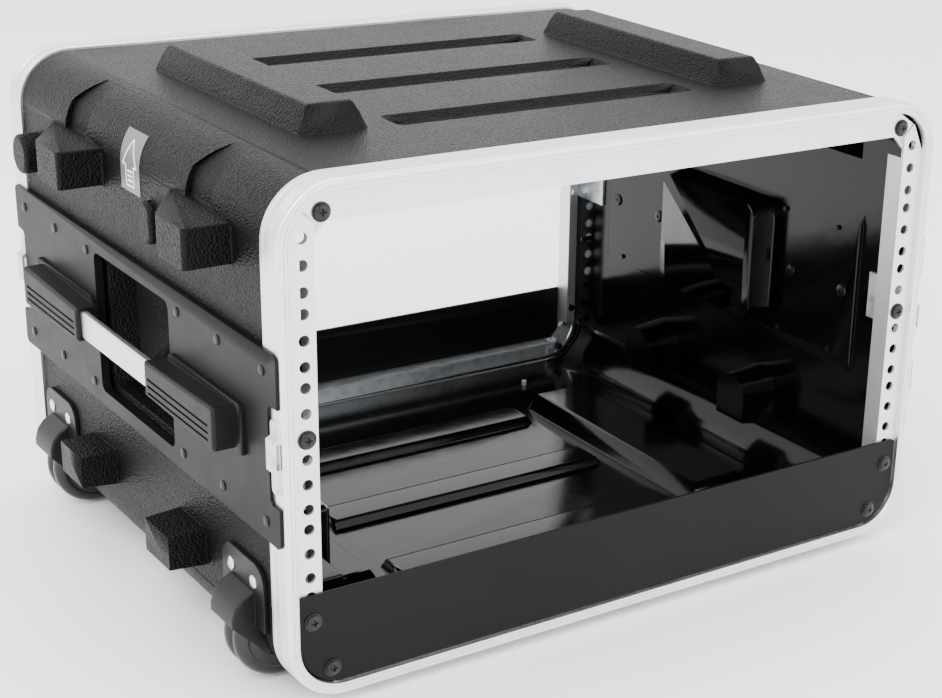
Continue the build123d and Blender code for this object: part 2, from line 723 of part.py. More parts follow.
with BuildPart() as left_side_plate:
    opening_middle = (0, middle(PLATE_OPENING[1]))
    opening_size = (2 * PLATE_OPENING[0], length(PLATE_OPENING[1]))
    with BuildSketch(side_plane(-PLATE_OUTER_X)):
        with Locations((0, middle(PLATE_Z))):
            Rectangle(2 * PLATE_HALF_LENGTH, length(PLATE_Z))
        fillet(vertices(), 5)
        with Locations(*[(end * PLATE_HALF_LENGTH, middle(PLATE_NOTCH_Z)) for end in (-1, 1)]):
            RectangleRounded(2 * PLATE_NOTCH_DEPTH, length(PLATE_NOTCH_Z), 4, mode=Mode.SUBTRACT)
        with Locations(opening_middle):
            RectangleRounded(*opening_size, 6, mode=Mode.SUBTRACT)
        with Locations(*RIVET_PLACES):
            Circle(RIVET_RADIUS + 0.1, mode=Mode.SUBTRACT)
        with Locations(*HANDLE_BOLTS):
            Circle(HANDLE_BOLT_RADIUS + 0.1, mode=Mode.SUBTRACT)
    extrude(amount=SHEET)
    with BuildSketch(side_plane(-HALF_WIDTH)):
        with Locations(*[(0, middle(PLATE_Z) + side * (length(PLATE_Z) - SHEET) / 2) for side in (-1, 1)]):
            Rectangle(2 * (HALF_DEPTH - VALANCE_DEPTH) - 1, SHEET)
    extrude(amount=HALF_WIDTH - SHELL_HALF_WIDTH)
    with BuildSketch(side_plane(-HALF_WIDTH)):
        with Locations(opening_middle):
            RectangleRounded(opening_size[0] + 4, opening_size[1] + 4, 8)
            RectangleRounded(*opening_size, 6, mode=Mode.SUBTRACT)
    extrude(amount=PLATE_RIM_DEPTH)
save(left_side_plate, "left_side_plate")


with BuildPart() as left_plate_rivets:
    rivet_length = PLATE_OUTER_X - SHELL_HALF_WIDTH + RECESS_DEPTH + WALL + 2
    plate_rivet = fastener(RIVET_HEAD_RADIUS, RIVET_HEAD_HEIGHT, RIVET_RADIUS, rivet_length)
    with Locations(*facing([(-PLATE_OUTER_X, *place) for place in RIVET_PLACES], LEFT)):
        add(plate_rivet)
save(left_plate_rivets, "left_plate_rivets")

# ---------------------------------------------------------------- handles
GRIP_GROOVES = 3
GRIP_GROOVE_PITCH = 4.6
GRIP_GROOVE_DROP = 3.5
GRIP_FLANGE_Y = (63.0, 168.0)
GRIP_FLANGE = (2.5, 33.0)                 # thickness and height of the flange against the plate
SOCKET_GAP = 0.2
SOCKET_DEPTH = 70.0
HANDLE_BOLT_REACH = 7.0

with BuildPart() as left_front_grip:
    with BuildSketch(side_plane(-GRIP_OUTER_X)):
        with BuildLine():
            Polyline(
                (-GRIP_Y[0], HANDLE_Z - GRIP_HEIGHTS[0] / 2),
                (-GRIP_Y[0], HANDLE_Z + GRIP_HEIGHTS[0] / 2),
                (-GRIP_Y[1], HANDLE_Z + GRIP_HEIGHTS[1] / 2),
                (-GRIP_Y[1], HANDLE_Z - GRIP_HEIGHTS[1] / 2),
                close=True,
            )
        make_face()
        fillet(vertices().sort_by(Axis.X)[0:2], 3)
    extrude(amount=GRIP_OUTER_X - PLATE_OUTER_X)
    fillet(faces().sort_by(Axis.X)[0].outer_wire().edges(), 2.4)
    with BuildSketch(side_plane(-PLATE_OUTER_X - GRIP_FLANGE[0])):
        with Locations((-middle(GRIP_FLANGE_Y), HANDLE_Z)):
            RectangleRounded(length(GRIP_FLANGE_Y), GRIP_FLANGE[1], 4)
    extrude(amount=GRIP_FLANGE[0])
    with BuildSketch(side_plane(-GRIP_OUTER_X)):
        with Locations((-middle(GRIP_Y) + 1, HANDLE_Z - GRIP_GROOVE_DROP)):
            with GridLocations(0, GRIP_GROOVE_PITCH, 1, GRIP_GROOVES):
                SlotOverall(length(GRIP_Y) - 12, 1.8)
    extrude(amount=1.2, mode=Mode.SUBTRACT)
    with BuildSketch(front_plane(-GRIP_Y[0] - SOCKET_DEPTH)):
        with Locations((-BAR_OUTER_X + BAR_THICKNESS / 2, HANDLE_Z)):
            Rectangle(BAR_THICKNESS + 2 * SOCKET_GAP, BAR_HEIGHT + 2 * SOCKET_GAP)
    extrude(amount=-SOCKET_DEPTH, mode=Mode.SUBTRACT)
    with BuildSketch(side_plane(-PLATE_OUTER_X - HANDLE_BOLT_REACH)):
        with Locations(*HANDLE_BOLTS[0:2]):
            Circle(HANDLE_BOLT_RADIUS + 0.05)
    extrude(amount=HANDLE_BOLT_REACH, mode=Mode.SUBTRACT)
save(left_front_grip, "left_front_grip")

with BuildPart() as left_rear_grip:
    mirror(left_front_grip.part, about=Plane.XZ)
save(left_rear_grip, "left_rear_grip")

with BuildPart() as left_handle_bar:
    with BuildSketch(front_plane(GRIP_Y[0] + SOCKET_DEPTH - 2)):
        with Locations((-BAR_OUTER_X + BAR_THICKNESS / 2, HANDLE_Z)):
            RectangleRounded(BAR_THICKNESS, BAR_HEIGHT, 1.5)
    extrude(amount=2 * (GRIP_Y[0] + SOCKET_DEPTH - 2))
save(left_handle_bar, "left_handle_bar")

HANDLE_BOLT_HEAD_X = SHELL_HALF_WIDTH - RECESS_DEPTH - WALL
HANDLE_BOLT_HEADS = [(-HANDLE_BOLT_HEAD_X, *place) for place in HANDLE_BOLTS]

with BuildPart() as left_handle_bolts:
    handle_bolt = fastener(
        5.0, 1.8, HANDLE_BOLT_RADIUS, PLATE_OUTER_X + HANDLE_BOLT_REACH - 1 - HANDLE_BOLT_HEAD_X, 4.2
    )
    with Locations(*facing(HANDLE_BOLT_HEADS, RIGHT)):
        add(handle_bolt)
save(left_handle_bolts, "left_handle_bolts")

# ---------------------------------------------------------------- latch keepers on the valances
KEEPER_WIDTH = 11.0
KEEPER_HUMP_Z = (159.0, 183.0)
KEEPER_HUMP_REACH = 4.5
KEEPER_SHEET = 1.2

with BuildPart() as left_latch_keepers:
    for end in (-1, 1):
        with BuildSketch(side_plane(-HALF_WIDTH)):
            with Locations((end * KEEPER_Y, middle(KEEPER_Z))):
                RectangleRounded(KEEPER_WIDTH, length(KEEPER_Z), 3)
            with Locations(*[(end * KEEPER_Y, z) for z in KEEPER_RIVET_Z]):
                Circle(KEEPER_RIVET_RADIUS + 0.05, mode=Mode.SUBTRACT)
        extrude(amount=-KEEPER_SHEET)
        with BuildSketch(front_plane(end * KEEPER_Y + KEEPER_WIDTH / 2 - 0.5)):
            with BuildLine():
                Polyline(
                    (-HALF_WIDTH, KEEPER_HUMP_Z[0]),
                    (-HALF_WIDTH - KEEPER_HUMP_REACH, KEEPER_HUMP_Z[0] + 2.5),
                    (-HALF_WIDTH - KEEPER_HUMP_REACH, KEEPER_HUMP_Z[1] - 2.5),
                    (-HALF_WIDTH, KEEPER_HUMP_Z[1]),
                    close=True,
                )
            make_face()
        extrude(amount=KEEPER_WIDTH - 1)
        with BuildSketch(front_plane(end * KEEPER_Y + KEEPER_WIDTH)):
            with Locations((-HALF_WIDTH - 1, middle(KEEPER_HUMP_Z))):
                Rectangle(4, length(KEEPER_HUMP_Z) - 8)
        extrude(amount=2 * KEEPER_WIDTH, mode=Mode.SUBTRACT)
save(left_latch_keepers, "left_latch_keepers")

KEEPER_RIVETS = [(-HALF_WIDTH - KEEPER_SHEET, end * KEEPER_Y, z) for end in (-1, 1) for z in KEEPER_RIVET_Z]

with BuildPart() as left_keeper_rivets:
    keeper_rivet = fastener(2.7, 1.2, KEEPER_RIVET_RADIUS, KEEPER_SHEET + 1.2)
    with Locations(*facing(KEEPER_RIVETS, LEFT)):
        add(keeper_rivet)
save(left_keeper_rivets, "left_keeper_rivets")

LEFT_SIDE_PIECES = (
    (left_side_plate, "side_plate"),
    (left_plate_rivets, "plate_rivets"),
    (left_front_grip, "front_grip"),
    (left_rear_grip, "rear_grip"),
    (left_handle_bar, "handle_bar"),
    (left_handle_bolts, "handle_bolts"),
    (left_latch_keepers, "latch_keepers"),
    (left_keeper_rivets, "keeper_rivets"),
)
for piece, label in LEFT_SIDE_PIECES:
    with BuildPart() as twin:
        mirror(piece.part, about=Plane.YZ)
    save(twin, f"right_{label}")

# ---------------------------------------------------------------- wheels
HUB_RADIUS = 17.0
TREAD_ROUND = 8.0
GROOVE_DEPTH = 6.0
AXLE_REACH = CHEEK_OUTER + 0.5
AXLE_HEAD_RADIUS = 7.0
AXLE_HEAD = 1.8
BUSH_RADIUS = 7.0
BRACKET_Z = (44.0, 87.0)
BRACKET_HALF_LENGTH = 29.0
BRACKET_THICKNESS = 3.0
HOOD_REACH = 18.0
HOOD_Z = (46.0, 68.0)
HOOD_SKIN = 2.0


def at_wheel(y):
    """Drawing plane square to the wheel's axle: local X is the case's X, local Y is Z."""
    return front_plane(y)


def wheel_tyre(middle_y):
    """Twin-lobed tread with a groove around its middle."""
    half = WHEEL_WIDTH / 2
    with BuildPart() as tyre:
        with BuildSketch(Plane.XY.offset(WHEEL_Z)):
            with BuildLine():
                for end in (-1, 1):
                    Line(
                        (WHEEL_X - HUB_RADIUS, middle_y + end * half),
                        (WHEEL_X - WHEEL_RADIUS + TREAD_ROUND, middle_y + end * half),
                    )
                    ThreePointArc(
                        (WHEEL_X - WHEEL_RADIUS + TREAD_ROUND, middle_y + end * half),
                        (WHEEL_X - WHEEL_RADIUS, middle_y + end * half / 2),
                        (WHEEL_X - WHEEL_RADIUS + GROOVE_DEPTH, middle_y),
                    )
                Line((WHEEL_X - HUB_RADIUS, middle_y - half), (WHEEL_X - HUB_RADIUS, middle_y + half))
            make_face()
        revolve(axis=Axis((WHEEL_X, middle_y, WHEEL_Z), (0, 1, 0)))
    return tyre


def wheel_hub(middle_y):
    """Nylon hub: rim, thin web and a boss that holds two bushes."""
    half = WHEEL_WIDTH / 2
    with BuildPart() as hub:
        with BuildSketch(at_wheel(middle_y + half)):
            with Locations((WHEEL_X, WHEEL_Z)):
                Circle(HUB_RADIUS)
                Circle(BUSH_RADIUS, mode=Mode.SUBTRACT)
        extrude(amount=2 * half)
        for face_y, direction in ((middle_y - half, -1), (middle_y + half, 1)):
            with BuildSketch(at_wheel(face_y)):
                with Locations((WHEEL_X, WHEEL_Z)):
                    Circle(HUB_RADIUS - 2.5)
                    Circle(BUSH_RADIUS + 2.0, mode=Mode.SUBTRACT)
            extrude(amount=4 * direction, mode=Mode.SUBTRACT)
    return hub


def wheel_bushes(middle_y):
    """Two plain bearing bushes, one from each face of the hub."""
    half = WHEEL_WIDTH / 2
    with BuildPart() as bushes:
        for low_y in (middle_y - half, middle_y + 2):
            with BuildSketch(at_wheel(low_y + half - 2)):
                with Locations((WHEEL_X, WHEEL_Z)):
                    Circle(BUSH_RADIUS)
                    Circle(AXLE_RADIUS + RUNNING_GAP, mode=Mode.SUBTRACT)
            extrude(amount=half - 2)
    return bushes


def wheel_axle(middle_y):
    """Axle pin across both cheeks, with a head at each end."""
    with BuildPart() as axle:
        with BuildSketch(at_wheel(middle_y + AXLE_REACH)):
            with Locations((WHEEL_X, WHEEL_Z)):
                Circle(AXLE_RADIUS)
        extrude(amount=2 * AXLE_REACH)
        for end in (-1, 1):
            head = middle_y + end * CHEEK_OUTER + (AXLE_HEAD if end > 0 else 0)
            with BuildSketch(at_wheel(head)):
                with Locations((WHEEL_X, WHEEL_Z)):
                    Circle(AXLE_HEAD_RADIUS)
            extrude(amount=AXLE_HEAD)
    return axle


def axle_washers(middle_y):
    """Spacers between the bushes and the cheeks."""
    with BuildPart() as washers:
        for end in (-1, 1):
            inner = WHEEL_WIDTH / 2 + 0.4
            high = middle_y + (CHEEK_INNER if end > 0 else -inner)
            with BuildSketch(at_wheel(high)):
                with Locations((WHEEL_X, WHEEL_Z)):
                    Circle(AXLE_HEAD_RADIUS - 0.5)
                    Circle(AXLE_RADIUS + 0.1, mode=Mode.SUBTRACT)
            extrude(amount=CHEEK_INNER - inner)
    return washers


def hood_outline(skin):
    """Side view of the hood over the wheel, thinned by skin."""
    tip = -SHELL_HALF_WIDTH - HOOD_REACH + skin
    return [
        (-SHELL_HALF_WIDTH, HOOD_Z[1] + 0.5 - skin),
        (-SHELL_HALF_WIDTH - 4.5, HOOD_Z[1] - skin),
        (tip + 6.5, HOOD_Z[1] - 4 - skin),
        (tip + 2, HOOD_Z[1] - 10 - skin / 2),
        (tip, HOOD_Z[0] + 5),
        (tip, HOOD_Z[0]),
    ]


def wheel_bracket(middle_y):
    """Riveted flange, hood over the wheel and two cheeks that carry the axle."""
    cheek_foot = [(WHEEL_X - 13, WHEEL_Z - 8), (WHEEL_X, WHEEL_Z - 12), (WHEEL_X + 13, WHEEL_Z - 8)]
    cheek_back = [(WHEEL_X + 14, WHEEL_Z + 6), (10 - SHELL_HALF_WIDTH, 60), (-SHELL_HALF_WIDTH, 60)]
    cavity_top = HOOD_Z[1] + 0.5 - HOOD_SKIN
    with BuildPart() as bracket:
        with BuildSketch(at_wheel(middle_y + CHEEK_OUTER)):
            with BuildLine():
                Polyline(*hood_outline(0), *cheek_foot, *cheek_back, close=True)
            make_face()
        extrude(amount=2 * CHEEK_OUTER)
        rims = edges().filter_by(Axis.Y, reverse=True).filter_by_position(
            Axis.X, -SHELL_HALF_WIDTH - HOOD_REACH - 1, -SHELL_HALF_WIDTH - 1
        )
        fillet(rims.filter_by_position(Axis.Z, HOOD_Z[0], HOOD_Z[1] + 1), 1.8)
        with BuildSketch(at_wheel(middle_y + CHEEK_INNER)):
            with BuildLine():
                Polyline(
                    *hood_outline(HOOD_SKIN),
                    (HOOD_SKIN - SHELL_HALF_WIDTH - HOOD_REACH, -10),
                    (0, -10),
                    (0, cavity_top),
                    close=True,
                )
            make_face()
        extrude(amount=2 * CHEEK_INNER, mode=Mode.SUBTRACT)
        with BuildSketch(side_plane(-SHELL_HALF_WIDTH)):
            with Locations((middle_y, middle(BRACKET_Z))):
                Rectangle(2 * BRACKET_HALF_LENGTH, length(BRACKET_Z))
            fillet(vertices().group_by(Axis.Y)[-1], 13)
            with Locations((middle_y, (cavity_top + BRACKET_Z[0] - 20) / 2)):
                Rectangle(2 * CHEEK_INNER, cavity_top - BRACKET_Z[0] + 20, mode=Mode.SUBTRACT)
            with Locations(*BRACKET_RIVETS):
                Circle(BRACKET_RIVET_RADIUS + 0.1, mode=Mode.SUBTRACT)
        extrude(amount=-BRACKET_THICKNESS)
        with BuildSketch(at_wheel(middle_y + 20)):
            with Locations((WHEEL_X, WHEEL_Z)):
                Circle(AXLE_RADIUS)
        extrude(amount=40, mode=Mode.SUBTRACT)
    return bracket


for middle_y, name in ((-WHEEL_Y, "front"), (WHEEL_Y, "rear")):
    save(wheel_tyre(middle_y), f"{name}_wheel_tyre")
    save(wheel_hub(middle_y), f"{name}_wheel_hub")
    save(wheel_bushes(middle_y), f"{name}_wheel_bushes")
    save(wheel_axle(middle_y), f"{name}_wheel_axle")
    save(axle_washers(middle_y), f"{name}_axle_washers")
    save(wheel_bracket(middle_y), f"{name}_wheel_bracket")

with BuildPart() as wheel_bracket_rivets:
    bracket_rivet = fastener(4.5, 1.5, BRACKET_RIVET_RADIUS, BRACKET_THICKNESS + WALL + 2)
    bracket_face = -SHELL_HALF_WIDTH - BRACKET_THICKNESS
    with Locations(*facing([(bracket_face, *place) for place in BRACKET_RIVETS], LEFT)):
        add(bracket_rivet)
save(wheel_bracket_rivets, "wheel_bracket_rivets")

# ---------------------------------------------------------------- feet
with BuildPart() as rubber_feet:
    with BuildSketch(Plane.XY):
        with Locations(*FOOT_PLACES):
            Circle(FOOT_RADIUS - 2)
    extrude(amount=SHELL_BOTTOM, taper=-10)
    with BuildSketch(Plane.XY):
        with Locations(*FOOT_PLACES):
            Circle(6)
    extrude(amount=5, mode=Mode.SUBTRACT)
    with BuildSketch(Plane.XY):
        with Locations(*FOOT_PLACES):
            Circle(2.2)
    extrude(amount=SHELL_BOTTOM, mode=Mode.SUBTRACT)
save(rubber_feet, "rubber_feet")

with BuildPart() as foot_screws:
    foot_screw = fastener(5.0, 2.0, 2.1, SHELL_BOTTOM + WALL - 5 + 4, 4.0)
    with Locations(*facing([(x, y, 5.0) for x, y in FOOT_PLACES], (0, 0, -1))):
        add(foot_screw)
save(foot_screws, "foot_screws")

# ---------------------------------------------------------------- orientation label on the upper left edge
LABEL_Y = (-18.0, 12.0)
LABEL_THICKNESS = 0.3
LABEL_LOW_Z = 277.0
LABEL_TURN = 38.0                         # degrees that the label wraps up around the rounded edge

with BuildPart() as up_label:
    with BuildSketch(front_plane(LABEL_Y[1])):
        with BuildLine():
            edge_axis = (-SHELL_CORNER_X, SHELL_CORNER_Z)
            inner = CenterArc(edge_axis, SHELL_RADIUS, 180 - LABEL_TURN, LABEL_TURN)
            outer = CenterArc(edge_axis, SHELL_RADIUS + LABEL_THICKNESS, 180 - LABEL_TURN, LABEL_TURN)
            Line(inner @ 0, outer @ 0)
            Line(inner @ 1, (-SHELL_HALF_WIDTH, LABEL_LOW_Z))
            Line((-SHELL_HALF_WIDTH, LABEL_LOW_Z), (-SHELL_HALF_WIDTH - LABEL_THICKNESS, LABEL_LOW_Z))
            Line((-SHELL_HALF_WIDTH - LABEL_THICKNESS, LABEL_LOW_Z), outer @ 1)
        make_face()
    extrude(amount=length(LABEL_Y))
save(up_label, "up_label")
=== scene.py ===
import json
import math

import bmesh
import bpy
from mathutils import Matrix, Vector
from mathutils.bvhtree import BVHTree


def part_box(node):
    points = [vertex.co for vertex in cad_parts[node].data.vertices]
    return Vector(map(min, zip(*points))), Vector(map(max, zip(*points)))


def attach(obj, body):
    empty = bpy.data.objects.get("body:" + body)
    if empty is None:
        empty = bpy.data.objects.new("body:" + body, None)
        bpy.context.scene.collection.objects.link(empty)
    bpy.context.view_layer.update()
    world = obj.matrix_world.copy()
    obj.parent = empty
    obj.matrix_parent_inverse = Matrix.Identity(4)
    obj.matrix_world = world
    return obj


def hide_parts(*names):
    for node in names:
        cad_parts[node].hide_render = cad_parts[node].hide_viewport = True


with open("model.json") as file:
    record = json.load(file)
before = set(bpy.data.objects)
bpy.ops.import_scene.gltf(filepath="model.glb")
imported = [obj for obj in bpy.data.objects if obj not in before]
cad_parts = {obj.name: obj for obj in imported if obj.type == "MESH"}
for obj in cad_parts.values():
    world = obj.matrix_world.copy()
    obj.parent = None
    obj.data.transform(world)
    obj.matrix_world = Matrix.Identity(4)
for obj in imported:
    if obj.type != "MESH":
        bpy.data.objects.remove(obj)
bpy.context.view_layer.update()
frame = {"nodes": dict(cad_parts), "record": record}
NODES = frame["nodes"]
MM = 0.001

# ---------------------------------------------------------------- dimensions taken from the frame
FRONT_LOW, FRONT_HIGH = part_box("front_valance")
VALANCE_SHEET = 2.0 * MM                  # the shell stands this far inside the valances

# ---------------------------------------------------------------- the photograph's viewpoint
CAMERA_PLACE = (-0.68477, -1.11994, 0.60333)
CAMERA_TURNS = (-37.04, 21.65, 2.43)      # azimuth, elevation and roll in degrees
CAMERA_LENS = 72.14                       # millimetres, on a sensor 36 mm wide
CAMERA_SENSOR = 36.0
CAMERA_SHIFT = (-0.1746, 0.0623)


# ---------------------------------------------------------------- node helpers
class Nodes:
    """A material's node tree with short calls for the nodes used here."""

    def __init__(self, name):
        self.material = bpy.data.materials.new(name)
        self.material.use_nodes = True
        self.tree = self.material.node_tree
        self.shader = self.tree.nodes["Principled BSDF"]
        coord = self.tree.nodes.new("ShaderNodeTexCoord")
        self.place = coord.outputs["Object"]

    def node(self, kind, **values):
        made = self.tree.nodes.new(kind)
        for key, value in values.items():
            if hasattr(made, key):
                setattr(made, key, value)
            else:
                made.inputs[key.replace("_", " ")].default_value = value
        return made

    def link(self, source, target):
        self.tree.links.new(source, target)

    def scaled(self, x, y, z):
        mapping = self.node("ShaderNodeMapping")
        mapping.inputs["Scale"].default_value = (x, y, z)
        self.link(self.place, mapping.inputs["Vector"])
        return mapping.outputs["Vector"]

    def noise(self, scale, detail=3.0, rough=0.5, vector=None):
        made = self.node("ShaderNodeTexNoise", Scale=scale, Detail=detail, Roughness=rough)
        self.link(vector or self.place, made.inputs["Vector"])
        return made.outputs["Fac"]

    def cells(self, scale, smooth=0.4, vector=None, feature="SMOOTH_F1"):
        made = self.node("ShaderNodeTexVoronoi", feature=feature, Scale=scale)
        if "Smoothness" in made.inputs:
            made.inputs["Smoothness"].default_value = smooth
        self.link(vector or self.place, made.inputs["Vector"])
        return made.outputs["Distance"]

    def ramp(self, fac, *stops):
        made = self.node("ShaderNodeValToRGB")
        elements = made.color_ramp.elements
        while len(elements) < len(stops):
            elements.new(0.5)
        for element, (position, value) in zip(elements, stops):
            element.position = position
            element.color = (*value, 1.0) if isinstance(value, tuple) else (value, value, value, 1.0)
        self.link(fac, made.inputs["Fac"])
        return made.outputs["Color"]

    def remap(self, fac, low, high):
        made = self.node("ShaderNodeMapRange")
        made.inputs["To Min"].default_value = low
        made.inputs["To Max"].default_value = high
        self.link(fac, made.inputs["Value"])
        return made.outputs["Result"]

    def math(self, operation, a, b):
        made = self.node("ShaderNodeMath", operation=operation)
        for socket, value in zip(made.inputs, (a, b)):
            if isinstance(value, (int, float)):
                socket.default_value = value
            else:
                self.link(value, socket)
        return made.outputs["Value"]

    def bump(self, height, strength, distance, under=None):
        made = self.node("ShaderNodeBump", Strength=strength, Distance=distance)
        self.link(height, made.inputs["Height"])
        if under:
            self.link(under, made.inputs["Normal"])
        return made.outputs["Normal"]

    def finish(self, color=None, roughness=None, normal=None, **values):
        if color is not None:
            self.link(color, self.shader.inputs["Base Color"])
        if roughness is not None:
            self.link(roughness, self.shader.inputs["Roughness"])
        if normal is not None:
            self.link(normal, self.shader.inputs["Normal"])
        for key, value in values.items():
            self.shader.inputs[key.replace("_", " ")].default_value = value
        return self.material


# ---------------------------------------------------------------- materials
def leather_moulding():
    """Black moulded plastic with a pebbled leather grain whose tops catch the light."""
    n = Nodes("moulded_shell")
    broad = n.noise(9.0, 4.0, 0.6)
    pebbles = n.cells(640.0, 0.4)
    fine = n.noise(2300.0, 2.0, 0.6)
    color = n.ramp(broad, (0.3, (0.0020, 0.0020, 0.0022)), (0.7, (0.0034, 0.0034, 0.0037)))
    rough = n.math("ADD", n.remap(pebbles, 0.26, 0.56), n.remap(n.noise(60.0, 3.0, 0.6), -0.04, 0.04))
    grain = n.bump(pebbles, 0.9, 0.0008)
    normal = n.bump(fine, 0.35, 0.0002, grain)
    return n.finish(color, rough, normal, Specular_IOR_Level=0.09)


def glossy_inside():
    """The sleeve's bare inner face: blacker, smoother and gently rippled by the forming."""
    n = Nodes("moulded_inside")
    color = n.ramp(n.noise(20.0, 3.0), (0.3, (0.0016, 0.0016, 0.0019)), (0.7, (0.0030, 0.0030, 0.0034)))
    rough = n.remap(n.noise(45.0, 4.0, 0.6), 0.07, 0.17)
    normal = n.bump(n.noise(900.0, 2.0), 0.10, 0.0002, n.bump(n.noise(14.0, 3.0), 0.22, 0.002))
    return n.finish(color, rough, normal, Specular_IOR_Level=0.22)


def metal(name, tint, low, high, stretch, relief=0.12, metallic=1.0):
    """Brushed, rolled or anodised metal; stretch gives the scale of the grain along X, Y and Z."""
    n = Nodes(name)
    grain = n.noise(1.0, 3.0, 0.6, n.scaled(*stretch))
    cloud = n.noise(24.0, 4.0, 0.6)
    tone = n.math("ADD", n.math("MULTIPLY", grain, 0.5), n.math("MULTIPLY", cloud, 0.5))
    color = n.ramp(tone, (0.35, tuple(0.88 * c for c in tint)), (0.65, tint))
    normal = n.bump(grain, relief, 0.0003)
    return n.finish(color, n.remap(grain, low, high), normal, Metallic=metallic)


def spangled_zinc():
    """Galvanised sheet: flat crystals of slightly different grey."""
    n = Nodes("zinc_plate")
    crystals = n.cells(110.0, feature="F1")
    color = n.ramp(crystals, (0.1, (0.46, 0.50, 0.53)), (0.6, (0.66, 0.70, 0.73)))
    rough = n.remap(crystals, 0.28, 0.46)
    normal = n.bump(n.noise(300.0, 3.0), 0.1, 0.0003)
    return n.finish(color, rough, normal, Metallic=0.72)


def coated(name, tint, low, high, scale=900.0, relief=0.25, metallic=0.0, shine=0.3):
    """Powder coat or plastic with a fine orange-peel surface and faint colour drift."""
    n = Nodes(name)
    cloud = n.noise(16.0, 4.0, 0.6)
    peel = n.noise(scale, 2.0, 0.5)
    color = n.ramp(cloud, (0.3, tuple(0.85 * c for c in tint)), (0.7, tuple(1.12 * c for c in tint)))
    rough = n.remap(n.noise(70.0, 3.0, 0.6), low, high)
    normal = n.bump(peel, relief, 0.00025)
    return n.finish(color, rough, normal, Metallic=metallic, Specular_IOR_Level=shine)


MATERIALS = {
    "moulding": leather_moulding(),
    "anodised_aluminium": metal("anodised_valance", (0.86, 0.86, 0.87), 0.30, 0.42, (60, 4000, 60)),
    "rail_metal": metal("rail_aluminium", (0.82, 0.82, 0.83), 0.36, 0.48, (2500, 2500, 50), metallic=0.85),
    "panel_black": coated("blank_panel_black", (0.0040, 0.0040, 0.0043), 0.40, 0.52, 1400.0, 0.2, shine=0.12),
    "zinc": spangled_zinc(),
    "black_oxide": coated("black_oxide_steel", (0.0070, 0.0070, 0.0075), 0.24, 0.38, 1500.0, 0.15, 0.2, 0.35),
    "plate_grey": coated("side_plate_coat", (0.0048, 0.0048, 0.0052), 0.36, 0.48, 1300.0, 0.3, shine=0.11),
    "grip_black": coated("grip_moulding", (0.0050, 0.0050, 0.0053), 0.40, 0.54, 1100.0, 0.4, shine=0.15),
    "bar_aluminium": metal("bar_aluminium", (0.80, 0.80, 0.82), 0.28, 0.42, (3000, 40, 3000)),
    "bracket_black": coated("bracket_coat", (0.0060, 0.0060, 0.0063), 0.32, 0.44, 1200.0, 0.3, shine=0.18),
    "bright_rivet": metal("bright_rivet", (0.78, 0.78, 0.79), 0.22, 0.34, (400, 400, 400)),
    "axle_steel": metal("axle_steel", (0.6, 0.6, 0.62), 0.22, 0.34, (400, 400, 400)),
    "foot_rubber": coated("foot_rubber", (0.012, 0.012, 0.012), 0.6, 0.75, 800.0, 0.4),
    "label_grey": coated("label_film", (0.105, 0.11, 0.12), 0.30, 0.40, 600.0, 0.08, shine=0.5),
    "tread": coated("tread_rubber", (0.006, 0.0065, 0.008), 0.14, 0.24, 500.0, 0.08, shine=0.4),
    "hub_nylon": coated("hub_nylon", (0.014, 0.014, 0.015), 0.35, 0.5, 900.0, 0.2),
    "bush_bronze": metal("bush_bronze", (0.52, 0.34, 0.17), 0.25, 0.4, (300, 300, 300)),
}
INSIDE = glossy_inside()
LABEL_WHITE = coated("label_print", (0.80, 0.80, 0.80), 0.36, 0.46, 600.0, 0.06, shine=0.5)
for part in frame["record"]["subparts"]:
    node = NODES[part["node"]]
    node.data.materials.clear()
    node.data.materials.append(MATERIALS[part["material_slot"]])
SLOT = {part["node"]: part["material_slot"] for part in frame["record"]["subparts"]}
BODY = {node: body for body, members in frame["record"]["behaviour"]["bodies"].items() for node in members}


# ---------------------------------------------------------------- refined copies of CAD solids
def add_object(name, mesh, *materials):
    """A new object in the scene from a mesh and its materials."""
    made = bpy.data.objects.new(name, mesh)
    bpy.context.scene.collection.objects.link(made)
    for material in materials:
        mesh.materials.append(material)
    return made


def apply_modifiers(piece):
    """Make the modifiers' result the piece's own mesh."""
    graph = bpy.context.evaluated_depsgraph_get()
    mesh = bpy.data.meshes.new_from_object(piece.evaluated_get(graph))
    piece.modifiers.clear()
    piece.data = mesh


MOST_SIMPLE_CORNERS = 12                  # a flat face with more corners may have holes
SHARP_ANGLE = math.radians(28.0)          # edges that turn further than this are rounded
FLAT_ANGLE = math.radians(0.08)           # faces that turn less than this are one flat face
WELD_DISTANCE = 2e-6
SHELL_ROUNDING = 1.6 * MM
SHORTEST_SHELL_EDGE = 9.0 * MM
EDGE_WIDTHS = {"blank_panel": 0.35, "side_plate": 0.45, "grip": 0.5, "handle_bar": 0.4, "wheel_bracket": 0.5}


def stand_for(piece, node):
    """Show a piece in place of a CAD node, on the node's body."""
    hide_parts(node)
    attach(piece, BODY[node])


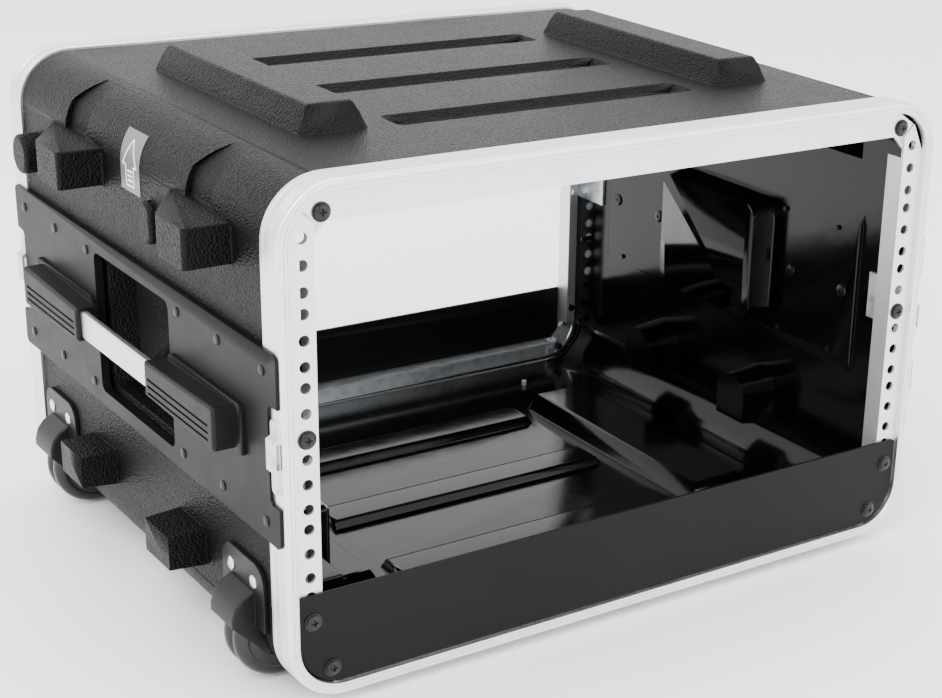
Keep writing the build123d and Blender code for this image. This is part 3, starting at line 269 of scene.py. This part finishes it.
def mend_pierced_faces(piece):
    """Refill the flat faces that have holes in them, which one polygon can't be cut into triangles for."""
    work = bmesh.new()
    work.from_mesh(piece.data)
    pierced = []
    for loops in work.calc_loop_triangles():
        first, second, third = (loop.vert.co for loop in loops)
        face = loops[0].face
        turned = (second - first).cross(third - first).dot(face.normal) < 0
        if turned and len(face.verts) > MOST_SIMPLE_CORNERS and face not in pierced:
            pierced.append(face)
    for face in pierced:
        normal = face.normal.copy()
        uses = {edge: sum(loop.face == face for loop in edge.link_loops) for edge in face.edges}
        work.faces.remove(face)
        outline = [edge for edge, count in uses.items() if count == 1]
        filled = bmesh.ops.triangle_fill(work, edges=outline, use_beauty=True, normal=normal)
        for new in filled["geom"]:
            if isinstance(new, bmesh.types.BMFace):
                new.smooth = True
                if new.normal.dot(normal) < 0:
                    new.normal_flip()
        for edge, count in uses.items():
            if count == 2 and not edge.link_faces:
                work.edges.remove(edge)
    work.to_mesh(piece.data)
    work.free()


def round_edges(piece, width, shortest):
    """Round the sharp edges longer than `shortest`, both hollow and proud."""
    work = bmesh.new()
    work.from_mesh(piece.data)
    weight = work.edges.layers.float.new("bevel_weight_edge")
    for edge in work.edges:
        sharp = len(edge.link_faces) == 2 and edge.calc_face_angle(0.0) > SHARP_ANGLE
        edge[weight] = float(sharp and edge.calc_length() > shortest)
        edge.smooth = not (sharp and edge.calc_length() <= shortest)
    work.to_mesh(piece.data)
    work.free()
    bevel = piece.modifiers.new("edges", "BEVEL")
    bevel.width = width
    bevel.segments = 2
    bevel.limit_method = "WEIGHT"
    bevel.use_clamp_overlap = False
    apply_modifiers(piece)
    mend_pierced_faces(piece)
    normals = piece.modifiers.new("flats", "WEIGHTED_NORMAL")
    normals.keep_sharp = True
    normals.weight = 100
    apply_modifiers(piece)


def refine(node, width, shortest=1.0 * MM):
    """A copy of a CAD node with its sharp edges rounded, to stand for the node."""
    mesh = bpy.data.meshes.new(node + "_fine")
    work = bmesh.new()
    work.from_mesh(NODES[node].data)
    bmesh.ops.remove_doubles(work, verts=work.verts, dist=WELD_DISTANCE)
    bmesh.ops.dissolve_limit(work, angle_limit=FLAT_ANGLE, verts=work.verts, edges=work.edges)
    for face in work.faces:
        face.smooth = True
        face.material_index = 0
    work.to_mesh(mesh)
    work.free()
    piece = add_object(node + "_fine", mesh, MATERIALS[SLOT[node]])
    round_edges(piece, width, shortest)
    stand_for(piece, node)
    return piece


def line_inside(piece, inner):
    """Give the faces that look into the sleeve the inner material."""
    mesh = piece.data
    mesh.materials.append(inner)
    mesh.calc_loop_triangles()
    tree = BVHTree.FromPolygons([v.co for v in mesh.vertices], [t.vertices for t in mesh.loop_triangles])
    largest = {}
    for triangle in mesh.loop_triangles:
        known = largest.get(triangle.polygon_index)
        if known is None or triangle.area > known.area:
            largest[triangle.polygon_index] = triangle
    ways = ((1, 0, 0), (-1, 0, 0), (0, 0, 1), (0, 0, -1))
    for index, triangle in largest.items():
        centre = sum((mesh.vertices[v].co for v in triangle.vertices), Vector()) / 3
        start = centre + 1.0 * MM * triangle.normal
        if all(tree.ray_cast(start, Vector(way), 1.0)[0] is not None for way in ways):
            mesh.polygons[index].material_index = 1


# ---------------------------------------------------------------- valances with their rolled grooves
# Each corner of the section: how far inside the outer face and behind the front face, in millimetres
GROOVES_BEHIND_FRONT = (4.4, 7.2, 10.0, 17.5)
GROOVE_HALF_WIDTH = 0.55
GROOVE_DEPTH = 0.7
VALANCE_CORNER = 38.0
SHOULDER = 2.2


def valance_section():
    """The section's corners in order, from the rear edge round the front to the inner face."""
    points = [(2.0, 22.0), (0.4, 22.0), (0.0, 21.6)]
    for place in reversed(GROOVES_BEHIND_FRONT):
        points.append((0.0, place + GROOVE_HALF_WIDTH))
        points.append((GROOVE_DEPTH, place))
        points.append((0.0, place - GROOVE_HALF_WIDTH))
    for step in range(6):
        turn = math.radians(90 * step / 5)
        points.append((SHOULDER * (1 - math.cos(turn)), SHOULDER * (1 - math.sin(turn))))
    points += [(3.2, 0.0), (3.5, 0.7), (4.1, 0.7), (4.4, 0.0)]
    points += [(5.6, 0.0), (5.9, 0.6), (6.4, 0.6), (6.7, 0.0)]
    points += [(7.2, 0.0), (7.5, 0.4), (7.5, 4.7), (6.4, 4.7), (6.4, 2.0), (2.0, 2.0)]
    return points


def rounded_loop(inset, steps=14):
    """Points in X and Z round the valance, that far inside its outer face."""
    radius = (VALANCE_CORNER - inset) * MM
    right = FRONT_HIGH.x - VALANCE_CORNER * MM
    left = FRONT_LOW.x + VALANCE_CORNER * MM
    top = FRONT_HIGH.z - VALANCE_CORNER * MM
    bottom = FRONT_LOW.z + VALANCE_CORNER * MM
    loop = []
    corners = ((right, top), (left, top), (left, bottom), (right, bottom))
    for quarter, (corner_x, corner_z) in enumerate(corners):
        for step in range(steps + 1):
            turn = math.radians(90 * (quarter + step / steps))
            loop.append((corner_x + radius * math.cos(turn), corner_z + radius * math.sin(turn)))
    return loop


def make_valance(node, facing):
    """The grooved end frame at the front, where facing is -1, or at the rear, where it is 1."""
    section = valance_section()
    rings = [rounded_loop(inset) for inset, behind in section]
    count = len(rings[0])
    vertices = []
    for (inset, behind), ring in zip(section, rings):
        depth = -facing * (FRONT_LOW.y + behind * MM)
        vertices += [(x, depth, z) for x, z in ring]
    faces = []
    for row in range(len(section)):
        below = (row + 1) % len(section)
        for step in range(count):
            after = (step + 1) % count
            corners = (row * count + step, row * count + after, below * count + after, below * count + step)
            faces.append(corners if facing < 0 else corners[::-1])
    mesh = bpy.data.meshes.new(node + "_fine")
    mesh.from_pydata(vertices, [], faces)
    mesh.update()
    work = bmesh.new()
    work.from_mesh(mesh)
    bmesh.ops.recalc_face_normals(work, faces=work.faces)
    work.to_mesh(mesh)
    work.free()
    piece = add_object(node + "_fine", mesh, MATERIALS[SLOT[node]])
    mesh.set_sharp_from_angle(angle=math.radians(25))
    stand_for(piece, node)


# ---------------------------------------------------------------- the carrying-way arrow on the label
LABEL_CORNER = 36.0 * MM                  # radius of the edge that the label wraps
PRINT_LIFT = 0.42 * MM                    # the label's film, and a little more
ARROW_LINE = 1.1                          # widths of the printed lines, in millimetres
BAR_LINE = 1.4


def make_arrow():
    """A white outlined arrow with three bars, printed on the label that wraps the upper left edge."""
    low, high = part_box("up_label")
    side_x = FRONT_LOW.x + VALANCE_SHEET
    corner_x = side_x + LABEL_CORNER
    corner_z = FRONT_HIGH.z - VALANCE_SHEET - LABEL_CORNER
    middle_y = (low.y + high.y) / 2
    straight = corner_z - low.z
    vertices = []
    faces = []

    def place(side, along):
        """A point on the label, in millimetres beside and above the middle of its lower edge."""
        climb = along * MM - straight
        if climb < 0:
            return (side_x - PRINT_LIFT, middle_y - side * MM, corner_z + climb)
        turn = climb / LABEL_CORNER
        reach = LABEL_CORNER + PRINT_LIFT
        return (corner_x - reach * math.cos(turn), middle_y - side * MM, corner_z + reach * math.sin(turn))

    def stroke(first, last, width):
        """A flat strip between two label points, cut into short steps that follow the curve."""
        run = Vector(last) - Vector(first)
        across = Vector((-run.y, run.x)).normalized() * width / 2
        steps = max(2, int(run.length / 2.0))
        base = len(vertices)
        for step in range(steps + 1):
            at = Vector(first) + run * step / steps
            vertices.extend((place(*(at - across)), place(*(at + across))))
        for step in range(steps):
            corner = base + 2 * step
            faces.append((corner, corner + 1, corner + 3, corner + 2))

    outline = [(0, 34), (10.5, 17), (6, 17), (6, 4), (-6, 4), (-6, 17), (-10.5, 17)]
    for first, last in zip(outline, outline[1:] + outline[:1]):
        stroke(first, last, ARROW_LINE)
    for height in (7.5, 10.5, 13.5):
        stroke((-3.6, height), (3.6, height), BAR_LINE)
    mesh = bpy.data.meshes.new("label_arrow")
    mesh.from_pydata(vertices, [], faces)
    mesh.update()
    piece = add_object("label_arrow", mesh, LABEL_WHITE)
    thick = piece.modifiers.new("film", "SOLIDIFY")
    thick.thickness = 0.12 * MM
    thick.offset = 0.0
    apply_modifiers(piece)
    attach(piece, BODY["up_label"])


# ---------------------------------------------------------------- stage, light and camera
def make_floor():
    """A pale studio floor that reaches past the picture."""
    mesh = bpy.data.meshes.new("studio_floor")
    size = 8.0
    corners = [(-size, -size, 0), (size, -size, 0), (size, size, 0), (-size, size, 0)]
    mesh.from_pydata(corners, [], [(0, 1, 2, 3)])
    n = Nodes("studio_floor")
    color = n.ramp(n.noise(3.0, 4.0), (0.3, (0.95, 0.95, 0.95)), (0.7, (0.97, 0.97, 0.97)))
    floor = add_object("studio_floor", mesh, n.finish(color, None, None, Roughness=0.6))


def area_light(name, place, target, width, height, power):
    """A soft rectangular lamp aimed at target."""
    data = bpy.data.lights.new(name, "AREA")
    data.shape = "RECTANGLE"
    data.size = width
    data.size_y = height
    data.energy = power
    lamp = bpy.data.objects.new(name, data)
    bpy.context.scene.collection.objects.link(lamp)
    lamp.location = place
    lamp.rotation_euler = (Vector(target) - Vector(place)).to_track_quat("-Z", "Y").to_euler()


def studio():
    """White surroundings and four large soft lamps."""
    world = bpy.data.worlds.new("studio")
    world.use_nodes = True
    world.node_tree.nodes["Background"].inputs["Color"].default_value = (1.0, 1.0, 1.0, 1.0)
    world.node_tree.nodes["Background"].inputs["Strength"].default_value = 2.5
    bpy.context.scene.world = world
    middle = (0.0, 0.0, 0.17)
    area_light("key", (-1.6, -1.3, 2.2), middle, 1.6, 1.6, 60.0)
    area_light("top", (0.2, 0.3, 2.4), middle, 2.2, 1.6, 40.0)
    area_light("front_fill", (1.4, -2.2, 1.0), middle, 1.8, 1.4, 22.0)
    area_light("left_strip", (-2.2, 0.4, 0.9), middle, 0.8, 1.8, 16.0)


def camera():
    """The photograph's viewpoint."""
    azimuth, elevation, roll = (math.radians(turn) for turn in CAMERA_TURNS)
    level = math.cos(elevation)
    back = Vector((math.sin(azimuth) * level, -math.cos(azimuth) * level, math.sin(elevation)))
    right = Vector((math.cos(azimuth), math.sin(azimuth), 0.0))
    up = back.cross(right)
    turned_right = math.cos(roll) * right + math.sin(roll) * up
    turned_up = -math.sin(roll) * right + math.cos(roll) * up
    data = bpy.data.cameras.new("camera")
    data.sensor_fit = "HORIZONTAL"
    data.sensor_width = CAMERA_SENSOR
    data.lens = CAMERA_LENS
    data.shift_x, data.shift_y = CAMERA_SHIFT
    data.clip_start = 0.01
    made = bpy.data.objects.new("camera", data)
    bpy.context.scene.collection.objects.link(made)
    rotation = Matrix((turned_right, turned_up, back)).transposed().to_4x4()
    made.matrix_world = Matrix.Translation(CAMERA_PLACE) @ rotation
    bpy.context.scene.camera = made


# ---------------------------------------------------------------- the pieces, the stage and the camera
shell = refine("shell", SHELL_ROUNDING, SHORTEST_SHELL_EDGE)
line_inside(shell, INSIDE)
make_valance("front_valance", -1)
make_valance("rear_valance", 1)
for name in NODES:
    for ending, width in EDGE_WIDTHS.items():
        if name.endswith(ending):
            refine(name, width * MM)
make_arrow()
make_floor()
studio()
camera()
